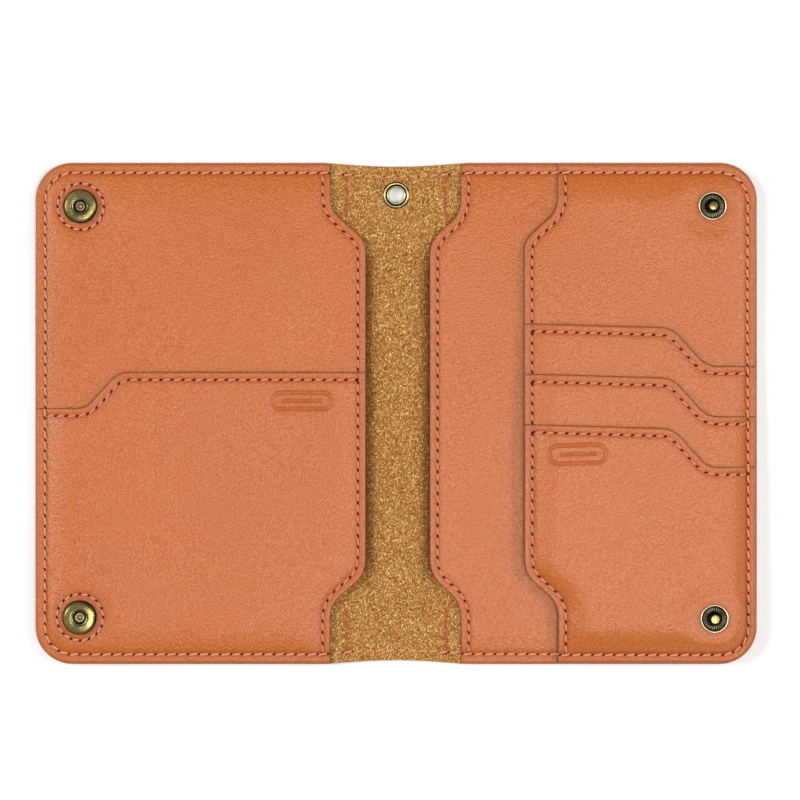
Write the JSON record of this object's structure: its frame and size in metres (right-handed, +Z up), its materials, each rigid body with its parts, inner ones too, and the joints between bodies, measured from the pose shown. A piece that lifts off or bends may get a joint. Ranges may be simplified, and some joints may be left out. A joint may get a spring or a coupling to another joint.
{
  "type": "travel document organizer",
  "caption": "Tan leather passport wallet lying open, with passport sleeves, a ticket pocket, stepped card pockets, press snaps and an eyelet in the spine.",
  "frame": {"origin": "centre of the open wallet's footprint, on the face that it rests on", "axes": "+X from the front cover across the spine to the back cover, +Y from the tail edge to the head edge, +Z up out of the inside face"},
  "size_m": [0.2044, 0.142, 0.0109],
  "materials": {
    "tan_leather": "smooth semi-gloss coated tan leather",
    "leather_back": "matt golden-brown speckled fibre back of the same leather",
    "thread": "waxed peach-orange sewing thread",
    "antique_brass": "antique brass, dark in the hollows and bright on the edges",
    "spring_steel": "dull spring wire"
  },
  "bodies": {
    "back_half": {"outer_panel_back": "tan_leather", "cover_back": "tan_leather", "back_sleeve": "tan_leather", "back_sleeve_margin": "tan_leather", "card_panel": "tan_leather", "card_panel_margin": "tan_leather", "card_pocket_top": "tan_leather", "card_pocket_top_margin": "tan_leather", "card_pocket_middle": "tan_leather", "card_pocket_middle_margin": "tan_leather", "card_pocket_bottom": "tan_leather", "card_pocket_bottom_margin": "tan_leather", "perimeter_thread_back": "thread", "outer_panel_thread_back": "thread", "back_sleeve_thread": "thread", "card_panel_thread": "thread", "card_pocket_thread": "thread", "studs": "antique_brass", "stud_rivets": "antique_brass"},
    "spine": {"cover_spine": "leather_back", "perimeter_thread_spine": "thread", "eyelet": "antique_brass", "eyelet_washer": "antique_brass"},
    "front_half": {"outer_panel_front": "tan_leather", "cover_front": "tan_leather", "front_sleeve": "tan_leather", "front_sleeve_margin": "tan_leather", "ticket_pocket": "tan_leather", "ticket_pocket_margin": "tan_leather", "perimeter_thread_front": "thread", "outer_panel_thread_front": "thread", "front_sleeve_thread": "thread", "ticket_pocket_thread": "thread", "socket_ring_thread": "thread", "socket_bodies": "antique_brass", "socket_springs": "spring_steel", "socket_rivets": "antique_brass", "socket_patches": "tan_leather"}
  },
  "joints": [
    {"name": "back_fold", "type": "hinge", "parent": "back_half", "child": "spine", "pos_m": [0.0062, 0, 0.0018], "axis": [0, 1, 0], "range_deg": [0, 90]},
    {"name": "front_fold", "type": "hinge", "parent": "spine", "child": "front_half", "pos_m": [-0.0062, 0, 0.0018], "axis": [0, 1, 0], "range_deg": [0, 90]}
  ],
  "couplings": [
    {"joint": "front_fold", "follows": "back_fold", "ratio": 1}
  ]
}
